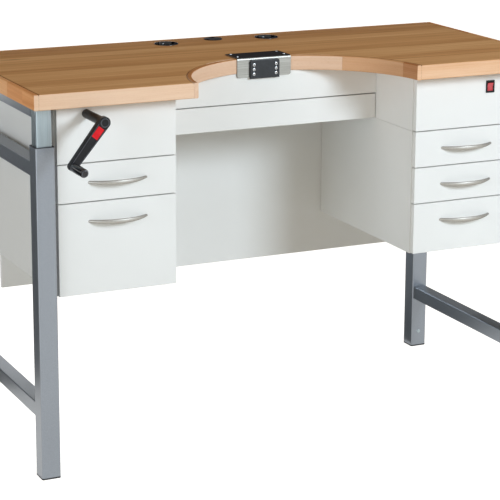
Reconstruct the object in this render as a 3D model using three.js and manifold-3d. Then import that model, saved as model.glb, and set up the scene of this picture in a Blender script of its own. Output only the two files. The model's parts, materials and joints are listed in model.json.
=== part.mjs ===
// Jeweller's bench: beech worktop with a round cut-out, hanging pedestals, telescopic legs with a crank.
// Millimetres, +Z up, front towards -Y. The origin is the bottom centre of the bounding box.
import * as THREE from "three";
import { mergeVertices } from "three/addons/utils/BufferGeometryUtils.js";
import Module from "manifold-3d";

const wasm = await Module();
wasm.setup();

// Fits
const FIT = 0.3; // gap between pieces that touch
const SLIDE_FIT = 0.5; // gap round a tube that slides in another
const OVER = 1; // a cutter's reach past the face it cuts
const JOIN = 1; // how far joined solids run into each other

// Facets on a quarter or full curve
const CORNER_STEPS = 4;
const SMALL_STEPS = 6;
const ROUND_STEPS = 12;
const TURN_STEPS = 32;
const CUT_STEPS = 96; // full turn of the cut-out

// Worktop
const TOP_W = 1500;
const TOP_D = 680;
const TOP_T = 40;
const TOP_H = 1010; // upper face above the floor, at rest
const EDGE_R = 3;
const LIPPING = 12; // solid-wood strip on the ends and round the cut-out
const JOINT_W = 4; // V joint between the board and its lipping
const JOINT_DEPTH = 3;
const CUT_CHORD = 632; // width of the cut-out at the front edge
const CUT_AHEAD = 25; // centre of the cut-out ahead of the front edge
const LIPPING_JOINT_DEG = 49.6; // where the two curved lippings meet

// Round inserts near the back edge
const INSERT_PITCH = 156;
const INSERT_SHIFT = 6; // middle insert off the bench's middle
const OUTER_INSERT_D = 68;
const OUTER_INSERT_BACK = 77; // centre to the back edge
const GROMMET_D = 53;
const GROMMET_BACK = 50;
const INSERT_LIP = 4; // flange beyond the hole
const INSERT_RISE = 2.5;
const INSERT_DEPTH = 26;
const INSERT_DISH = 6; // closed face below the rim
const INSERT_WALL = 3;
const INSERT_EDGE = 1; // chamfer of the flange
const GROMMET_EDGE = 1.5;
const GROMMET_NOTCH = 16;
const GROMMET_NOTCH_RIM = 4; // cap left outside the notch

// Holder for the bench pin
const BRACKET_W = 160;
const BRACKET_REACH = 75; // plate back over the worktop
const BRACKET_H = 54;
const BRACKET_T = 3;
const BRACKET_BEND = 6;
const BRACKET_CORNER = 6;
const DOVETAIL_W = 88;
const DOVETAIL_H = 51;
const DOVETAIL_T = 6;
const DOVETAIL_DROP = 7; // plate's top below the bracket's top
const DOVETAIL_CORNER = 7;
const DOVETAIL_BEVEL = 2;
const DOVETAIL_SCREW_D = 6;
const DOVETAIL_SCREW_PITCH = 12.7;
const DOVETAIL_SCREW_X = 33;
const DOVETAIL_SEAT = 1; // depth of a screw's seat
const APRON_SET = 1.5; // apron's face behind the bracket's flange

// Telescopic legs and rails
const LEG = 50;
const LEG_R = 4;
const LEG_WALL = 4.5;
const LEG_TOP = 867;
const LEG_IN_SIDE = 16.5; // outer face in from the worktop's end
const LEG_IN_FRONT = 45;
const LEG_IN_BACK = 1.5;
const INNER_WALL = 3;
const INNER_BOTTOM = 500; // lower end of the sliding tube, at rest
const INNER_GROOVE_W = 2;
const INNER_GROOVE_DEPTH = 1;
const INNER_GROOVE_X = 8;
const CAP_T = 4;
const CAP_PLUG = 20;
const LIFT_ROD_D = 16;
const LIFT_ROD_TOP = 800;
const RAIL = 40;
const RAIL_R = 3;
const RAIL_WALL = 2.5;
const UPPER_RAIL_TOP = 826;
const FOOT_RAIL_TOP = 194;
const TOP_RAIL_H = 32;

// Cabinets
const BOARD = 16;
const FRONT_SET = 62.5; // worktop's front edge to the faces of the fronts
const CABINET_W = 325.5;
const CABINET_GAP = 9; // leg to cabinet
const FRONT_IN = 2.75; // front narrower than its cabinet, each side
const FRONT_GAP = 3;
const UPPER_H = 154; // fixed panel under the worktop
const SHALLOW_H = 100.5;
const DEEP_H = 141;
const BACK_T = 12;
const BACK_BOTTOM = 354;
const BACK_IN = 35.5; // end of the back panel to the leg

// Drawers
const BOX_WALL = 12;
const BOX_FLOOR = 6;
const BOX_RAISE = 12; // box above the lower edge of its front
const BOX_SHORT = 30; // box lower than its front
const BOX_D = 490;
const BOX_BEHIND = 41; // space behind a box in its carcass
const RUNNER_W = 12.5; // space between box and carcass
const RUNNER_H = 10;
const RUNNER_RAISE = 16; // runner above the floor of the box
const RUNNER_SHORT = 10; // runner shorter than the box
const CENTRE_H = 71;
const CENTRE_BEHIND = 30; // space behind the centre drawer's box

// Bow handles
const HANDLE_SPAN = 150;
const HANDLE_BOW = 29;
const HANDLE_H = 12;
const HANDLE_T = 6;
const HANDLE_DROP = 50; // below the top edge of the front
const HANDLE_EDGE = 1.5;
const HANDLE_OVERRUN = 0.1; // radians of bar that the front's plane trims off

// Crank and pump
const CRANK_IN = 78; // axis from the panel's outer edge
const CRANK_DROP = 28; // axis below the worktop
const CRANK_REACH = 114; // panel to the back of the arm
const CRANK_ARM = 132;
const CRANK_ARM_T = 18;
const CRANK_HEAD_R = 15;
const CRANK_END_R = 11;
const CRANK_EDGE = 2;
const CRANK_REST_DEG = -128.8; // arm's direction at rest, from +X towards +Z
const CRANK_SLEEVE_D = 23;
const CRANK_SHAFT_D = 14;
const CRANK_SHAFT_IN = 55; // shaft behind the panel's face
const CRANK_CLEAR = 1; // sleeve to panel, and pin to the grip's closed end
const GRIP_D = 23;
const GRIP_L = 78;
const GRIP_PIN_D = 8;
const GRIP_CLOSED = 7; // solid length at the free end
const GRIP_TAPER = 0.5;
const GRIP_MOUTH = 3; // rounding next to the arm
const GRIP_DOME = 6; // rounding of the free end
const PUMP_W = 100;
const PUMP_D = 90;
const PUMP_H = 80;
const PUMP_ABOVE = 20; // block above the shaft's axis
const PUMP_R = 8;
const PUMP_BORE_END = 2; // bore past the shaft's end
const PUMP_CYLINDER_D = 44;
const PUMP_CYLINDER_H = 45;

// Rocker switch
const SWITCH_IN = 90; // centre from the panel's outer edge
const SWITCH_DROP = 45; // centre below the worktop
const SWITCH_W = 26;
const SWITCH_H = 34;
const SWITCH_RIM = 4;
const SWITCH_PROUD = 2.5;
const SWITCH_BODY_D = 28;
const SWITCH_WALL = 2;
const SWITCH_BACK = 3;
const ROCKER_TILT_DEG = 8;
const ROCKER_PLAY = 1.5; // room above and below for the tilt
const ROCKER_PIVOT_IN = 4; // pivot behind the panel's face
const ROCKER_FRONT = 7; // tips ahead of the pivot
const ROCKER_VEE = 2;
const ROCKER_REAR = 5; // keel behind the pivot

// Places worked out from the sizes
const topUnder = TOP_H - TOP_T;
const front = -TOP_D / 2;
const back = TOP_D / 2;
const cutR = Math.hypot(CUT_CHORD / 2, CUT_AHEAD);
const cutY = front - CUT_AHEAD;
const flangeBack = cutY + Math.sqrt(cutR ** 2 - (BRACKET_W / 2) ** 2) - FIT;
const flangeFront = flangeBack - BRACKET_T;
const bracketTop = TOP_H + FIT + BRACKET_T;
const innerTube = LEG - 2 * LEG_WALL - 2 * SLIDE_FIT;
const legX = TOP_W / 2 - LEG_IN_SIDE - LEG / 2;
const legFrontY = front + LEG_IN_FRONT + LEG / 2;
const legBackY = back - LEG_IN_BACK - LEG / 2;
const legInner = legX - LEG / 2;
const cabinetOut = legInner - CABINET_GAP;
const cabinetMid = cabinetOut - CABINET_W / 2;
const kneeHalf = cabinetOut - CABINET_W; // half the space left between the cabinets
const backHalf = legInner - BACK_IN;
const frontW = CABINET_W - 2 * FRONT_IN;
const faceY = front + FRONT_SET;
const carcassFront = faceY + BOARD + FIT;
const carcassBack = carcassFront + BOX_D + BOX_BEHIND;
const upperUnder = topUnder - UPPER_H;
const centreFace = flangeBack + APRON_SET;
const centreBoxD = carcassBack - CENTRE_BEHIND - (centreFace + BOARD + FIT);
const crankX = -(cabinetOut - FRONT_IN - CRANK_IN);
const crankZ = topUnder - CRANK_DROP;
const armBack = faceY - CRANK_REACH;
const armFront = armBack - CRANK_ARM_T;
const gripEnd = armFront - FIT - GRIP_L;
const shiftY = -(gripEnd + back) / 2; // puts the middle of the bounding box on the origin

const PAINT = {
  melamine: paint(0xeff1f3, 0.5),
  beech: paint(0xc99a6b, 0.55),
  lipping: paint(0xd9af86, 0.55),
  frame: paint(0x8f959a, 0.45, 0.4),
  tube: paint(0xa9afb4, 0.4, 0.8),
  nickel: paint(0xb8b4ac, 0.35, 1),
  steel: paint(0xb9bcc0, 0.3, 1),
  black: paint(0x1d1e21, 0.5),
  gloss: paint(0x101012, 0.2),
  red: paint(0xc8202c, 0.35),
  drawer: paint(0xc9cccf, 0.5, 0.3),
  cast: paint(0x5a5e63, 0.5, 0.8),
};

function paint(color, roughness, metalness = 0) {
  return new THREE.MeshStandardMaterial({ color, roughness, metalness });
}

// A closed three.js geometry as a solid that can be joined and cut.
function solid(geometry) {
  const bare = geometry.clone();
  bare.deleteAttribute("normal");
  bare.deleteAttribute("uv");
  const merged = mergeVertices(bare, 1e-4);
  const made = new wasm.Manifold(
    new wasm.Mesh({
      numProp: 3,
      vertProperties: merged.attributes.position.array,
      triVerts: new Uint32Array(merged.index.array),
    }),
  );
  return made;
}

// The solid back as a three.js geometry.
function geometryOf(made) {
  const mesh = made.getMesh();
  const position = new THREE.BufferAttribute(mesh.vertProperties, 3);
  const geometry = new THREE.BufferGeometry();
  geometry.setAttribute("position", position);
  geometry.setIndex(new THREE.BufferAttribute(mesh.triVerts, 1));
  geometry.computeVertexNormals();
  return geometry;
}

// Adds one named piece to a group.
function piece(group, name, made, material, place = [0, 0, 0]) {
  const geometry = made.isBufferGeometry ? made : geometryOf(made);
  const mesh = new THREE.Mesh(geometry, material);
  mesh.name = name;
  mesh.position.set(...place);
  group.add(mesh);
  return mesh;
}

const X = new THREE.Vector3(1, 0, 0);
const Y = new THREE.Vector3(0, 1, 0);
const Z = new THREE.Vector3(0, 0, 1);
const ALONG = {
  x: new THREE.Matrix4().makeBasis(Y, Z, X), // drawn in YZ
  y: new THREE.Matrix4().makeBasis(X, Z, Y.clone().negate()), // drawn in XZ
  z: new THREE.Matrix4().makeBasis(X, Y, Z), // drawn in XY
};

// A shape drawn across an axis and run along it between two stations.
function prism(shape, axis, from, to, steps = 6, edge = 0) {
  const geometry = new THREE.ExtrudeGeometry(shape, {
    depth: to - from - 2 * edge,
    curveSegments: steps,
    bevelEnabled: edge > 0,
    bevelThickness: edge,
    bevelSize: edge,
    bevelOffset: -edge,
    bevelSegments: 2,
  });
  geometry.translate(0, 0, edge);
  geometry.applyMatrix4(ALONG[axis]);
  const start = { x: [from, 0, 0], y: [0, to, 0], z: [0, 0, from] }[axis];
  return geometry.translate(...start);
}

function block(x0, x1, y0, y1, z0, z1) {
  const geometry = new THREE.BoxGeometry(x1 - x0, y1 - y0, z1 - z0);
  return geometry.translate((x0 + x1) / 2, (y0 + y1) / 2, (z0 + z1) / 2);
}

function rectangle(x0, y0, x1, y1, r = 0) {
  const shape = new THREE.Shape();
  if (r === 0) {
    shape.moveTo(x0, y0);
    shape.lineTo(x1, y0);
    shape.lineTo(x1, y1);
    shape.lineTo(x0, y1);
    return shape;
  }
  shape.absarc(x1 - r, y0 + r, r, -Math.PI / 2, 0);
  shape.absarc(x1 - r, y1 - r, r, 0, Math.PI / 2);
  shape.absarc(x0 + r, y1 - r, r, Math.PI / 2, Math.PI);
  shape.absarc(x0 + r, y0 + r, r, Math.PI, 1.5 * Math.PI);
  return shape;
}

function square(size, r = 0) {
  return rectangle(-size / 2, -size / 2, size / 2, size / 2, r);
}

function circle(r, x = 0, y = 0) {
  const shape = new THREE.Shape();
  shape.absarc(x, y, r, 0, 2 * Math.PI);
  return shape;
}

function polygon(...points) {
  return new THREE.Shape(points.map(([x, y]) => new THREE.Vector2(x, y)));
}

// A profile of [radius, height] points turned about Z.
function turned(points, steps) {
  const profile = points.map(([r, z]) => new THREE.Vector2(r, z));
  const geometry = new THREE.LatheGeometry(profile, steps);
  return geometry.rotateX(Math.PI / 2);
}

function boxTube(w, h, r, wall) {
  const shape = rectangle(-w / 2, -h / 2, w / 2, h / 2, r);
  const inner = Math.max(r - wall, 0.5);
  shape.holes.push(
    rectangle(-w / 2 + wall, -h / 2 + wall, w / 2 - wall, h / 2 - wall, inner),
  );
  return shape;
}

// Square tube with two fine grooves down each face.
function groovedTube(size, r, wall) {
  const half = size / 2;
  const shape = new THREE.Shape();
  for (let side = 0; side < 4; side += 1) {
    const turn = (side * Math.PI) / 2;
    const at = (x, y) => [
      x * Math.cos(turn) - y * Math.sin(turn),
      x * Math.sin(turn) + y * Math.cos(turn),
    ];
    for (const groove of [-INNER_GROOVE_X, INNER_GROOVE_X]) {
      const run = shape.curves.length || groove > 0 ? "lineTo" : "moveTo";
      shape[run](...at(groove - INNER_GROOVE_W / 2, -half));
      shape.lineTo(...at(groove, -half + INNER_GROOVE_DEPTH));
      shape.lineTo(...at(groove + INNER_GROOVE_W / 2, -half));
    }
    const corner = at(half - r, -half + r);
    shape.absarc(...corner, r, turn - Math.PI / 2, turn);
  }
  shape.holes.push(square(size - 2 * wall));
  return shape;
}

const bench = new THREE.Group();
bench.position.y = shiftY;
const CORNERS = [
  ["front_left", -legX, legFrontY],
  ["front_right", legX, legFrontY],
  ["rear_left", -legX, legBackY],
  ["rear_right", legX, legBackY],
];
const SIDES = [
  ["left", -1],
  ["right", 1],
];

// Standing frame: four outer tubes with feet and lift rods, and two rails on each side.
function standingFrame() {
  const frame = new THREE.Group();
  const tube = prism(boxTube(LEG, LEG, LEG_R, LEG_WALL), "z", CAP_T + FIT, LEG_TOP, CORNER_STEPS);
  const plug = LEG - 2 * LEG_WALL - 2 * FIT;
  const foot = solid(prism(square(LEG, LEG_R), "z", 0, CAP_T))
    .add(solid(prism(square(plug), "z", CAP_T / 2, CAP_T + CAP_PLUG)))
    .add(solid(prism(circle(LIFT_ROD_D / 2), "z", CAP_T, LIFT_ROD_TOP, ROUND_STEPS)));
  for (const [corner, x, y] of CORNERS) {
    piece(frame, `outer_leg_${corner}`, tube, PAINT.frame, [x, y, 0]);
    piece(frame, `foot_and_lift_rod_${corner}`, foot, PAINT.black, [x, y, 0]);
  }
  const from = legFrontY + LEG / 2 + FIT;
  const to = legBackY - LEG / 2 - FIT;
  const rail = prism(boxTube(RAIL, RAIL, RAIL_R, RAIL_WALL), "y", from, to, CORNER_STEPS);
  for (const [side, sign] of SIDES) {
    const x = sign * legX;
    const upper = [x, 0, UPPER_RAIL_TOP - RAIL / 2];
    const low = [x, 0, FOOT_RAIL_TOP - RAIL / 2];
    piece(frame, `upper_side_rail_${side}`, rail, PAINT.frame, upper);
    piece(frame, `foot_rail_${side}`, rail, PAINT.frame, low);
  }
  return frame;
}

// Sliding frame: four inner tubes and a rail under each end of the worktop.
function slidingFrame() {
  const frame = new THREE.Group();
  const upTo = topUnder - FIT;
  const section = groovedTube(innerTube, RAIL_R, INNER_WALL);
  const tube = prism(section, "z", INNER_BOTTOM, upTo, CORNER_STEPS);
  for (const [corner, x, y] of CORNERS)
    piece(frame, `inner_leg_${corner}`, tube, PAINT.tube, [x, y, 0]);
  const from = legFrontY + innerTube / 2 + FIT;
  const to = legBackY - innerTube / 2 - FIT;
  const rail = prism(boxTube(innerTube, TOP_RAIL_H, RAIL_R, RAIL_WALL), "y", from, to, CORNER_STEPS);
  for (const [side, sign] of SIDES) {
    const place = [sign * legX, 0, upTo - TOP_RAIL_H / 2];
    piece(frame, `top_rail_${side}`, rail, PAINT.frame, place);
  }
  return frame;
}

const INSERTS = [
  ["left", INSERT_SHIFT - INSERT_PITCH, back - OUTER_INSERT_BACK, OUTER_INSERT_D],
  ["right", INSERT_SHIFT + INSERT_PITCH, back - OUTER_INSERT_BACK, OUTER_INSERT_D],
];
const GROMMET = [INSERT_SHIFT, back - GROMMET_BACK];

// Worktop's section from front to back.
function boardSection() {
  return rectangle(front, topUnder, back, TOP_H, EDGE_R);
}

// Beech board, rounded along front and back, cut for the lippings and the inserts.
function worktop() {
  const end = TOP_W / 2 - LIPPING - FIT;
  let board = solid(prism(boardSection(), "x", -end, end, CORNER_STEPS));
  const r = cutR + LIPPING + FIT;
  const rise = JOINT_DEPTH + OVER;
  const flare = ((JOINT_W / 2) * rise) / JOINT_DEPTH;
  const bore = prism(circle(r), "z", topUnder - OVER, TOP_H + OVER, CUT_STEPS);
  const bevel = new THREE.CylinderGeometry(r + flare, r, rise, CUT_STEPS);
  bevel.rotateX(Math.PI / 2).rotateZ(Math.PI / 2);
  bevel.translate(0, 0, TOP_H - JOINT_DEPTH + rise / 2);
  for (const cut of [bore, bevel])
    board = board.subtract(solid(cut.translate(0, cutY, 0)));
  const vee = polygon(
    [end, TOP_H - JOINT_DEPTH],
    [end + OVER, TOP_H - JOINT_DEPTH],
    [end + OVER, TOP_H + OVER],
    [end - flare, TOP_H + OVER],
  );
  const cut = prism(vee, "y", front - OVER, back + OVER);
  board = board.subtract(solid(cut));
  board = board.subtract(solid(cut.clone().rotateZ(Math.PI)));
  for (const [, x, y, d] of [...INSERTS, ["", ...GROMMET, GROMMET_D]]) {
    const hole = circle(d / 2 - INSERT_LIP, x, y);
    board = board.subtract(solid(prism(hole, "z", topUnder - OVER, TOP_H + OVER, ROUND_STEPS)));
  }
  return board;
}

// Straight strip on one end of the worktop, drawn for the right end, rounded like the board.
function endLipping() {
  const out = TOP_W / 2;
  const inn = out - LIPPING;
  const shape = new THREE.Shape();
  shape.moveTo(inn, topUnder);
  shape.lineTo(out - EDGE_R, topUnder);
  shape.absarc(out - EDGE_R, topUnder + EDGE_R, EDGE_R, -Math.PI / 2, 0);
  shape.absarc(out - EDGE_R, TOP_H - EDGE_R, EDGE_R, 0, Math.PI / 2);
  shape.lineTo(inn + JOINT_W / 2, TOP_H);
  shape.lineTo(inn, TOP_H - JOINT_DEPTH);
  const strip = prism(shape, "y", front, back, CORNER_STEPS);
  const board = prism(boardSection(), "x", inn - OVER, out + OVER, CORNER_STEPS);
  return solid(strip).intersect(solid(board));
}

// Ring round the cut-out, rounded on its edges, cut at the front edge.
function cutoutRing() {
  const outer = cutR + LIPPING;
  const round = (z, from) =>
    [0, 1, 2, 3].map((step) => {
      const angle = from - (step * Math.PI) / 6;
      return [cutR + EDGE_R + EDGE_R * Math.cos(angle), z + EDGE_R * Math.sin(angle)];
    });
  const profile = [
    [outer, topUnder],
    [outer, TOP_H - JOINT_DEPTH],
    [outer - JOINT_W / 2, TOP_H],
    ...round(TOP_H - EDGE_R, Math.PI / 2).map(([r, z]) => [2 * (cutR + EDGE_R) - r, z]),
    ...round(topUnder + EDGE_R, Math.PI).map(([r, z]) => [r, 2 * (topUnder + EDGE_R) - z]),
    [outer, topUnder],
  ];
  const ring = solid(turned(profile, CUT_STEPS).rotateZ(Math.PI / 2));
  const reach = 2 * outer;
  const behind = block(-reach, reach, CUT_AHEAD, reach, topUnder - OVER, TOP_H + OVER);
  return ring.intersect(solid(behind));
}

// The ring's part on one side of the joint between the two lippings.
function cutoutLipping(ring, sign) {
  const reach = 3 * cutR;
  const half = block(-reach, reach, FIT / 2, reach, 0, 2 * TOP_H);
  const side = sign > 0 ? Math.PI : 0;
  half.rotateZ(side + (LIPPING_JOINT_DEG * Math.PI) / 180);
  return ring.intersect(solid(half));
}

// Black dished insert with a flange that lies on the worktop.
function dishedInsert(d) {
  const sleeve = d / 2 - INSERT_LIP - FIT;
  const seat = TOP_H + FIT;
  const top = seat + INSERT_RISE;
  return turned(
    [
      [0, TOP_H - INSERT_DEPTH],
      [sleeve, TOP_H - INSERT_DEPTH],
      [sleeve, seat],
      [d / 2, seat],
      [d / 2 - INSERT_EDGE, top],
      [sleeve - INSERT_WALL, top],
      [sleeve - 2 * INSERT_WALL, top - INSERT_DISH],
      [0, top - INSERT_DISH],
    ],
    TURN_STEPS,
  );
}

// Cable grommet: plug with a flat cap and a break-out notch for the cable.
function grommet() {
  const sleeve = GROMMET_D / 2 - INSERT_LIP - FIT;
  const seat = TOP_H + FIT;
  const top = seat + INSERT_RISE;
  const body = turned(
    [
      [0, TOP_H - INSERT_DEPTH],
      [sleeve, TOP_H - INSERT_DEPTH],
      [sleeve, seat],
      [GROMMET_D / 2, seat],
      [GROMMET_D / 2 - GROMMET_EDGE, top],
      [0, top],
    ],
    TURN_STEPS,
  );
  const half = GROMMET_NOTCH / 2;
  const rim = sleeve - GROMMET_NOTCH_RIM;
  const notch = block(-half, half, rim - GROMMET_NOTCH, rim, seat, top + OVER);
  return solid(body).subtract(solid(notch));
}

// Bent plate over the edge of the cut-out.
function pinBracket() {
  const bendY = flangeFront + BRACKET_BEND;
  const bendZ = bracketTop - BRACKET_BEND;
  const low = bracketTop - BRACKET_H;
  const rear = flangeBack + BRACKET_REACH;
  const shape = new THREE.Shape();
  shape.moveTo(rear, bracketTop - BRACKET_T);
  shape.lineTo(rear, bracketTop);
  shape.absarc(bendY, bendZ, BRACKET_BEND, Math.PI / 2, Math.PI);
  shape.lineTo(flangeFront, low);
  shape.lineTo(flangeBack, low);
  shape.absarc(bendY, bendZ, BRACKET_BEND - BRACKET_T, Math.PI, Math.PI / 2, true);
  const sheet = prism(shape, "x", -BRACKET_W / 2, BRACKET_W / 2, SMALL_STEPS);
  const face = rectangle(
    -BRACKET_W / 2, low, BRACKET_W / 2, bracketTop + 2 * BRACKET_CORNER, BRACKET_CORNER,
  );
  const keep = prism(face, "y", flangeFront - OVER, rear + OVER, CORNER_STEPS);
  return solid(sheet).intersect(solid(keep));
}

// Plate that the bench pin slides on, with six screw seats.
function dovetailPlate() {
  const half = DOVETAIL_W / 2;
  const top = bracketTop - DOVETAIL_DROP;
  const low = top - DOVETAIL_H;
  const shape = new THREE.Shape();
  shape.moveTo(-half, low);
  shape.lineTo(half, low);
  shape.absarc(half - DOVETAIL_CORNER, top - DOVETAIL_CORNER, DOVETAIL_CORNER, 0, Math.PI / 2);
  shape.absarc(
    -half + DOVETAIL_CORNER, top - DOVETAIL_CORNER, DOVETAIL_CORNER, Math.PI / 2, Math.PI,
  );
  const rear = flangeFront - FIT;
  const face = rear - DOVETAIL_T;
  let plate = solid(prism(shape, "y", face, rear, CORNER_STEPS, DOVETAIL_BEVEL));
  for (const sign of [-1, 1])
    for (const step of [-1, 0, 1]) {
      const z = top - DOVETAIL_H / 2 + step * DOVETAIL_SCREW_PITCH;
      const seat = circle(DOVETAIL_SCREW_D / 2, sign * DOVETAIL_SCREW_X, z);
      const sink = prism(seat, "y", face - OVER, face + DOVETAIL_SEAT, SMALL_STEPS);
      plate = plate.subtract(solid(sink));
    }
  return plate;
}

// Runner on a carcass board, for the drawer whose box starts at this height.
function runner(x0, x1, y0, depth, boxLow) {
  const low = boxLow + RUNNER_RAISE - RUNNER_H;
  return solid(block(x0, x1, y0, y0 + depth, low, low + RUNNER_H));
}

const STACKS = {
  left: [SHALLOW_H, SHALLOW_H + DEEP_H],
  right: [SHALLOW_H, SHALLOW_H, DEEP_H],
};
const stackH = 2 * SHALLOW_H + DEEP_H;

// Hanging pedestal: closed ring of boards with a pair of runners for each drawer.
function pedestal(heights) {
  const half = CABINET_W / 2;
  const low = upperUnder - stackH;
  const upTo = upperUnder - FIT;
  const ring = rectangle(-half, low, half, upTo);
  ring.holes.push(rectangle(-half + BOARD, low + BOARD, half - BOARD, upTo - BOARD));
  let carcass = solid(prism(ring, "y", carcassFront, carcassBack));
  let top = upperUnder;
  for (const height of heights) {
    const boxLow = boxFloor(top - height);
    const wall = half - BOARD;
    const tip = wall - RUNNER_W + SLIDE_FIT;
    for (const [a, b] of [
      [-wall - JOIN, -tip],
      [tip, wall + JOIN],
    ])
      carcass = carcass.add(runner(a, b, carcassFront, BOX_D - RUNNER_SHORT, boxLow));
    top -= height;
  }
  return carcass;
}

function boxFloor(frontLow) {
  return Math.max(frontLow, upperUnder - stackH + BOARD) + BOX_RAISE;
}

// Open drawer box with a rib on each side that rides on the runner.
function drawerBox(width, height, depth) {
  const half = width / 2;
  const inner = block(
    -half + BOX_WALL, half - BOX_WALL, BOX_WALL, depth - BOX_WALL, BOX_FLOOR, height + OVER,
  );
  const root = half - JOIN;
  const tip = half + RUNNER_W - SLIDE_FIT;
  const low = RUNNER_RAISE + FIT;
  const rib = block(root, tip, 0, depth, low, low + RUNNER_H);
  return solid(block(-half, half, 0, depth, 0, height))
    .add(solid(rib))
    .add(solid(rib.clone().translate(-root - tip, 0, 0)))
    .subtract(solid(inner));
}

// Bow handle: a flat bar on an arc whose ends meet the front.
function bowHandle() {
  const r = ((HANDLE_SPAN / 2) ** 2 + HANDLE_BOW ** 2) / (2 * HANDLE_BOW);
  const centre = r - HANDLE_BOW;
  const swing = Math.asin(HANDLE_SPAN / 2 / r) + HANDLE_OVERRUN;
  const bar = new THREE.Shape();
  const from = -Math.PI / 2 - swing;
  const to = -Math.PI / 2 + swing;
  bar.absarc(0, centre, r + HANDLE_T / 2, from, to);
  bar.absarc(0, centre, r - HANDLE_T / 2, to, from, true);
  const bow = solid(prism(bar, "z", -HANDLE_H / 2, HANDLE_H / 2, ROUND_STEPS, HANDLE_EDGE));
  const ahead = block(-HANDLE_SPAN, HANDLE_SPAN, -HANDLE_SPAN, -FIT, -HANDLE_H, HANDLE_H);
  return bow.intersect(solid(ahead));
}

// One drawer: box, front and, where it has one, a handle.
function drawer(name, at, size) {
  const group = new THREE.Group();
  group.position.set(at.x, at.y, at.z);
  const gap = FRONT_GAP / 2;
  const half = size.frontW / 2;
  const face = block(-half, half, 0, BOARD, gap, size.frontH - gap);
  piece(group, `${name}_front`, face, PAINT.melamine);
  const box = drawerBox(size.boxW, size.boxH, size.boxD);
  piece(group, `${name}_box`, box, PAINT.drawer, [0, BOARD + FIT, size.boxLow - at.z]);
  if (size.handle)
    piece(group, `${name}_handle`, bowHandle(), PAINT.nickel, [0, 0, size.frontH - HANDLE_DROP]);
  return group;
}

// Fixed boards over one pedestal: panel towards the user and two sides up to the worktop.
function upperCabinet(side, sign) {
  const group = new THREE.Group();
  const upTo = topUnder - FIT;
  const half = frontW / 2;
  const gap = FRONT_GAP / 2;
  const faceBack = faceY + BOARD;
  let panel = solid(
    block(-half, half, faceY, faceBack, upperUnder + gap, upTo),
  );
  if (sign < 0) {
    const hole = circle(CRANK_SHAFT_D / 2 + SLIDE_FIT, crankX + cabinetMid, crankZ);
    panel = panel.subtract(solid(prism(hole, "y", faceY - OVER, faceBack + OVER, ROUND_STEPS)));
  } else {
    const x = half - SWITCH_IN;
    const z = topUnder - SWITCH_DROP;
    const w = SWITCH_W / 2 - SWITCH_RIM / 2 + FIT;
    const h = SWITCH_H / 2 - SWITCH_RIM / 2 + FIT;
    const hole = block(x - w, x + w, faceY - OVER, faceBack + OVER, z - h, z + h);
    panel = panel.subtract(solid(hole));
  }
  piece(group, `upper_panel_${side}`, panel, PAINT.melamine, [sign * cabinetMid, 0, 0]);
  const board = block(-BOARD / 2, BOARD / 2, carcassFront, carcassBack, upperUnder, upTo);
  const outer = [sign * (cabinetOut - BOARD / 2), 0, 0];
  piece(group, `upper_side_outer_${side}`, board, PAINT.melamine, outer);
  const from = centreFace + BOARD + FIT;
  const tip = sign * (BOARD / 2 + RUNNER_W - SLIDE_FIT);
  const root = sign * (BOARD / 2 - JOIN);
  const rail = runner(
    Math.min(-tip, -root), Math.max(-tip, -root), from, centreBoxD, centreBoxLow(),
  );
  const inner = [sign * (kneeHalf + BOARD / 2), 0, 0];
  piece(group, `upper_side_inner_${side}`, solid(board).add(rail), PAINT.melamine, inner);
  return group;
}

function centreBoxLow() {
  return upperUnder + BOX_RAISE / 2;
}

// Hand crank: shaft, sleeve, tapered arm and the pin of the grip, drawn about its axis.
function crank() {
  const arm = new THREE.Shape();
  const lean = Math.asin((CRANK_HEAD_R - CRANK_END_R) / CRANK_ARM);
  arm.absarc(0, 0, CRANK_HEAD_R, Math.PI / 2 - lean, 1.5 * Math.PI + lean);
  arm.absarc(CRANK_ARM, 0, CRANK_END_R, lean - Math.PI / 2, Math.PI / 2 - lean);
  const turn = (CRANK_REST_DEG * Math.PI) / 180;
  const bar = prism(arm, "y", armFront, armBack, ROUND_STEPS, CRANK_EDGE).rotateY(-turn);
  const pinX = CRANK_ARM * Math.cos(turn);
  const pinZ = CRANK_ARM * Math.sin(turn);
  const sleeve = prism(
    circle(CRANK_SLEEVE_D / 2), "y", armBack - JOIN, faceY - CRANK_CLEAR, ROUND_STEPS,
  );
  const shaftEnd = faceY + CRANK_SHAFT_IN;
  const shaft = prism(circle(CRANK_SHAFT_D / 2), "y", armBack - JOIN, shaftEnd, ROUND_STEPS);
  const pinEnd = gripEnd + GRIP_CLOSED + CRANK_CLEAR;
  const pin = prism(
    circle(GRIP_PIN_D / 2, pinX, pinZ), "y", pinEnd, armFront + JOIN, SMALL_STEPS,
  );
  return solid(bar).add(solid(sleeve)).add(solid(shaft)).add(solid(pin));
}

// Grip: a barrel that spins on the arm's pin, blind at its free end.
function grip() {
  const r = GRIP_D / 2;
  const bore = GRIP_PIN_D / 2 + FIT;
  return turned(
    [
      [bore, 0],
      [r - GRIP_MOUTH, 0],
      [r - GRIP_TAPER, GRIP_MOUTH],
      [r, GRIP_L / 2],
      [r - GRIP_TAPER, GRIP_L - GRIP_DOME],
      [r - GRIP_DOME / 2, GRIP_L - GRIP_DOME / 6],
      [r - GRIP_DOME, GRIP_L],
      [0, GRIP_L],
      [0, GRIP_L - GRIP_CLOSED],
      [bore, GRIP_L - GRIP_CLOSED],
      [bore, 0],
    ],
    TURN_STEPS,
  ).rotateX(Math.PI / 2);
}

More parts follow.
